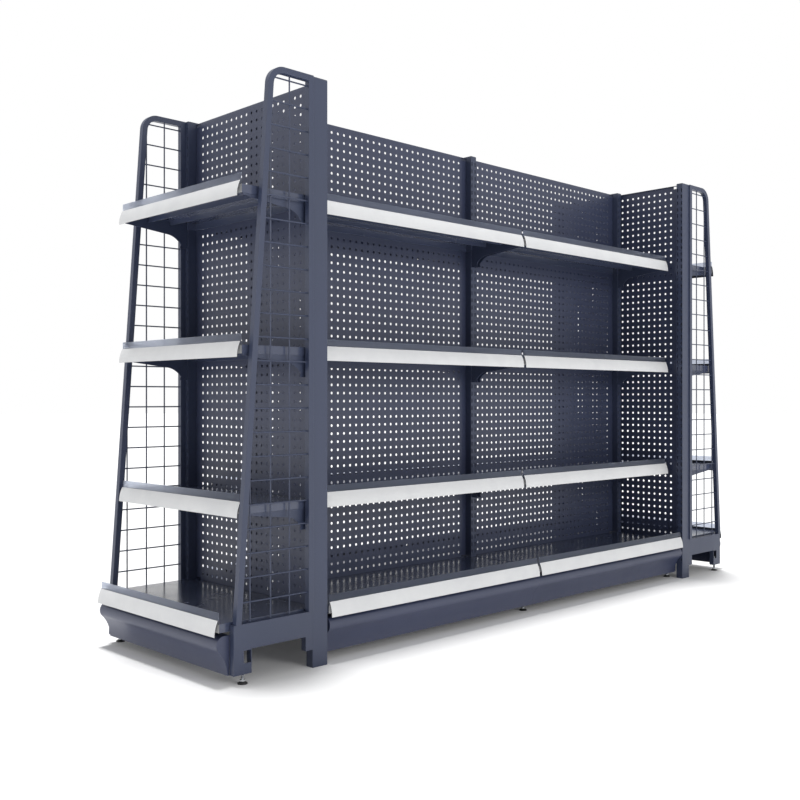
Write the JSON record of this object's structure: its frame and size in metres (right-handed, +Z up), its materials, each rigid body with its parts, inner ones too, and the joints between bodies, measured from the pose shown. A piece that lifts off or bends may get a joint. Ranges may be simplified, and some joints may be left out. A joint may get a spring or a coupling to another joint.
{
  "type": "gondola shelving unit",
  "caption": "Double-sided perforated gondola shelving run with end units, folded steel decks, price rails, wire side fences and levelling feet.",
  "frame": {"origin": "on the floor at the centre of the run's footprint", "axes": "+X along the run, +Z up, -Y towards the front aisle"},
  "size_m": [2.49, 0.642, 1.55],
  "materials": {
    "frame_paint": "slate powder coat, satin",
    "panel_paint": "slate powder coat, satin",
    "deck_paint": "slate powder coat, semi-gloss",
    "plinth_paint": "slate powder coat, satin",
    "wire_paint": "slate powder coat, satin",
    "rail_plastic": "off-white extruded plastic, satin gloss",
    "frosted_plastic": "frosted translucent plastic",
    "cap_plastic": "moulded plastic, slate",
    "foot_metal": "zinc-plated stud on a black pad",
    "zinc": "zinc-plated"
  },
  "bodies": {
    "frame": {"upright_left": "frame_paint", "upright_middle": "frame_paint", "upright_right": "frame_paint", "end_upright_front_left": "frame_paint", "end_upright_rear_left": "frame_paint", "end_upright_front_right": "frame_paint", "end_upright_rear_right": "frame_paint", "upright_caps": "cap_plastic", "tie_beams": "frame_paint", "back_panel_left": "panel_paint", "back_panel_right": "panel_paint", "end_panel_left": "panel_paint", "end_panel_right": "panel_paint", "front_deck_1": "deck_paint", "front_deck_2": "deck_paint", "front_deck_3": "deck_paint", "front_deck_4": "deck_paint", "rear_deck_1": "deck_paint", "rear_deck_2": "deck_paint", "rear_deck_3": "deck_paint", "rear_deck_4": "deck_paint", "left_deck_1": "deck_paint", "left_deck_2": "deck_paint", "left_deck_3": "deck_paint", "left_deck_4": "deck_paint", "right_deck_1": "deck_paint", "right_deck_2": "deck_paint", "right_deck_3": "deck_paint", "right_deck_4": "deck_paint", "front_brackets": "frame_paint", "rear_brackets": "frame_paint", "left_brackets": "frame_paint", "right_brackets": "frame_paint", "front_price_rails": "rail_plastic", "rear_price_rails": "rail_plastic", "left_price_rails": "rail_plastic", "right_price_rails": "rail_plastic", "run_risers": "frosted_plastic", "end_risers": "frosted_plastic", "run_base_brackets": "frame_paint", "end_base_brackets": "frame_paint", "front_plinths": "plinth_paint", "rear_plinths": "plinth_paint", "left_plinth": "plinth_paint", "right_plinth": "plinth_paint", "fence_front_left": "wire_paint", "fence_rear_left": "wire_paint", "fence_front_right": "wire_paint", "fence_rear_right": "wire_paint", "foot_nuts": "zinc"},
    "foot_front_left": {"foot_front_left": "foot_metal"},
    "foot_front_middle": {"foot_front_middle": "foot_metal"},
    "foot_front_right": {"foot_front_right": "foot_metal"},
    "foot_rear_left": {"foot_rear_left": "foot_metal"},
    "foot_rear_middle": {"foot_rear_middle": "foot_metal"},
    "foot_rear_right": {"foot_rear_right": "foot_metal"},
    "foot_end_front_left": {"foot_end_front_left": "foot_metal"},
    "foot_end_rear_left": {"foot_end_rear_left": "foot_metal"},
    "foot_end_front_right": {"foot_end_front_right": "foot_metal"},
    "foot_end_rear_right": {"foot_end_rear_right": "foot_metal"}
  },
  "joints": [
    {"name": "foot_front_left_screw", "type": "slide", "parent": "frame", "child": "foot_front_left", "axis": [0, 0, 1], "range_m": [-0.015, 0.012]},
    {"name": "foot_front_middle_screw", "type": "slide", "parent": "frame", "child": "foot_front_middle", "axis": [0, 0, 1], "range_m": [-0.015, 0.012]},
    {"name": "foot_front_right_screw", "type": "slide", "parent": "frame", "child": "foot_front_right", "axis": [0, 0, 1], "range_m": [-0.015, 0.012]},
    {"name": "foot_rear_left_screw", "type": "slide", "parent": "frame", "child": "foot_rear_left", "axis": [0, 0, 1], "range_m": [-0.015, 0.012]},
    {"name": "foot_rear_middle_screw", "type": "slide", "parent": "frame", "child": "foot_rear_middle", "axis": [0, 0, 1], "range_m": [-0.015, 0.012]},
    {"name": "foot_rear_right_screw", "type": "slide", "parent": "frame", "child": "foot_rear_right", "axis": [0, 0, 1], "range_m": [-0.015, 0.012]},
    {"name": "foot_end_front_left_screw", "type": "slide", "parent": "frame", "child": "foot_end_front_left", "axis": [0, 0, 1], "range_m": [-0.015, 0.012]},
    {"name": "foot_end_rear_left_screw", "type": "slide", "parent": "frame", "child": "foot_end_rear_left", "axis": [0, 0, 1], "range_m": [-0.015, 0.012]},
    {"name": "foot_end_front_right_screw", "type": "slide", "parent": "frame", "child": "foot_end_front_right", "axis": [0, 0, 1], "range_m": [-0.015, 0.012]},
    {"name": "foot_end_rear_right_screw", "type": "slide", "parent": "frame", "child": "foot_end_rear_right", "axis": [0, 0, 1], "range_m": [-0.015, 0.012]}
  ]
}
